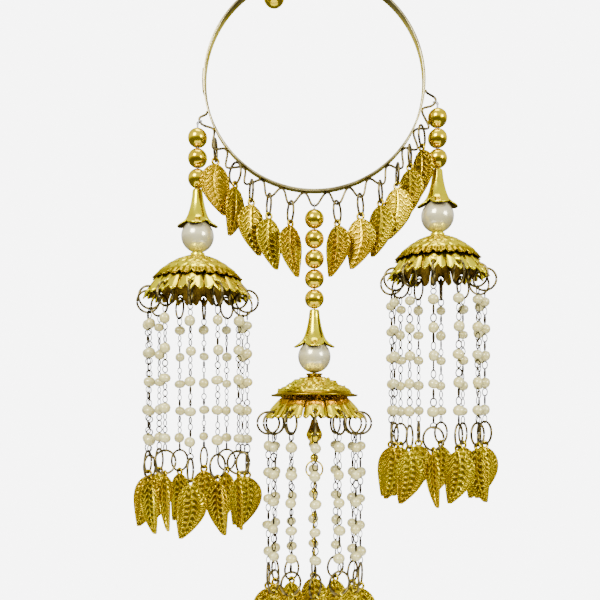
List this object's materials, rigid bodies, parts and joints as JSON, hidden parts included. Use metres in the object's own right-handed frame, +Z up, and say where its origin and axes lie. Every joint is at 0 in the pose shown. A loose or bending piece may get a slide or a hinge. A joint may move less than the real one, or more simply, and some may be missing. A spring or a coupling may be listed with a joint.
{
  "type": "kalire bridal ornament",
  "caption": "Gold-tone kalire: a bangle edged with leaf charms, with domed drops of beads, pearls, petal skirts and beaded strands ending in leaves.",
  "frame": {"origin": "inner top of the bangle, where the ornament hangs", "axes": "+Z up, +X to the viewer's right, +Y away from the viewer along the bangle's axis"},
  "size_m": [0.1092, 0.037, 0.2009],
  "materials": {
    "gold": "polished",
    "leaf_gold": "polished relief",
    "dark_gold": "satin wire",
    "pearl": "pearl lustre",
    "seed_pearl": "pearl lustre",
    "thread": "clear nylon"
  },
  "bodies": {
    "bangle": {"bangle": "gold", "charm_rings": "dark_gold", "charm_leaf_1": "leaf_gold", "charm_leaf_2": "leaf_gold", "charm_leaf_3": "leaf_gold", "charm_leaf_4": "leaf_gold", "charm_leaf_5": "leaf_gold", "charm_leaf_6": "leaf_gold", "charm_leaf_7": "leaf_gold", "charm_leaf_8": "leaf_gold", "charm_leaf_9": "leaf_gold", "charm_leaf_10": "leaf_gold", "charm_leaf_11": "leaf_gold"},
    "left_drop": {"left_thread": "thread", "left_bead_1": "gold", "left_bead_2": "gold", "left_bead_3": "gold", "left_bell_cap": "gold", "left_pearl": "pearl", "left_dome": "gold", "left_skirt": "gold", "left_skirt_rings": "dark_gold", "left_strands": "seed_pearl", "left_end_rings": "dark_gold", "left_leaves": "leaf_gold"},
    "centre_drop": {"centre_thread": "thread", "centre_bead_1": "gold", "centre_bead_2": "gold", "centre_bead_3": "gold", "centre_bead_4": "gold", "centre_bead_5": "gold", "centre_bell_cap": "gold", "centre_pearl": "pearl", "centre_dome": "gold", "centre_skirt": "gold", "centre_skirt_rings": "dark_gold", "centre_strands": "seed_pearl", "centre_end_rings": "dark_gold", "centre_leaves": "leaf_gold", "centre_finial": "gold", "centre_tail": "gold"},
    "right_drop": {"right_thread": "thread", "right_bead_1": "gold", "right_bead_2": "gold", "right_bead_3": "gold", "right_bell_cap": "gold", "right_pearl": "pearl", "right_dome": "gold", "right_skirt": "gold", "right_skirt_rings": "dark_gold", "right_strands": "seed_pearl", "right_end_rings": "dark_gold", "right_leaves": "leaf_gold"}
  },
  "joints": [
    {"name": "left_swing", "type": "hinge", "parent": "bangle", "child": "left_drop", "pos_m": [-0.03438, 0, -0.04447], "axis": [1, 0, 0], "range_deg": [0, 30]},
    {"name": "centre_swing", "type": "hinge", "parent": "bangle", "child": "centre_drop", "pos_m": [0, 0, -0.0698], "axis": [1, 0, 0], "range_deg": [-30, 30]},
    {"name": "right_swing", "type": "hinge", "parent": "bangle", "child": "right_drop", "pos_m": [0.03627, 0, -0.0387], "axis": [1, 0, 0], "range_deg": [0, 30]}
  ]
}
